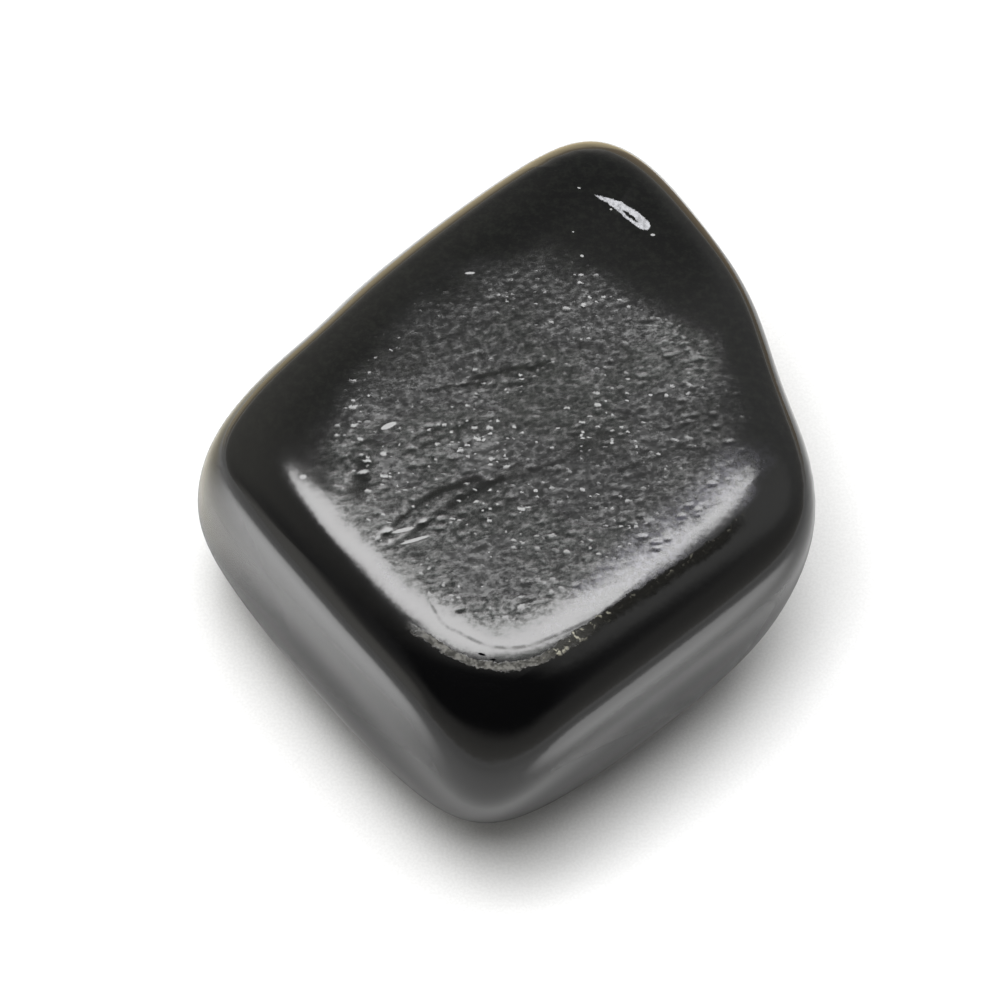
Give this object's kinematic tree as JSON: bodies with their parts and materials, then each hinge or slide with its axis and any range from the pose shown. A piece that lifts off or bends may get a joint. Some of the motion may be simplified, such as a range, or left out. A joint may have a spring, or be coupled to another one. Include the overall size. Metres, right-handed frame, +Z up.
{
  "type": "tumbled obsidian pebble",
  "caption": "Rounded, tumble-polished nugget of black volcanic glass that rests on a flattened base.",
  "frame": {"origin": "centre of the bounding box at the level of the rest face", "axes": "+Z up from the rest face, +Y along the stone's long diagonal from its blunt front corner to its rounded back corner, +X across it to the right"},
  "size_m": [0.0246, 0.0296, 0.0138],
  "materials": {
    "obsidian": "tumble-polished black glass, finely pitted on the top face"
  },
  "bodies": {
    "root": {"tumbled_obsidian": "obsidian"}
  },
  "joints": []
}
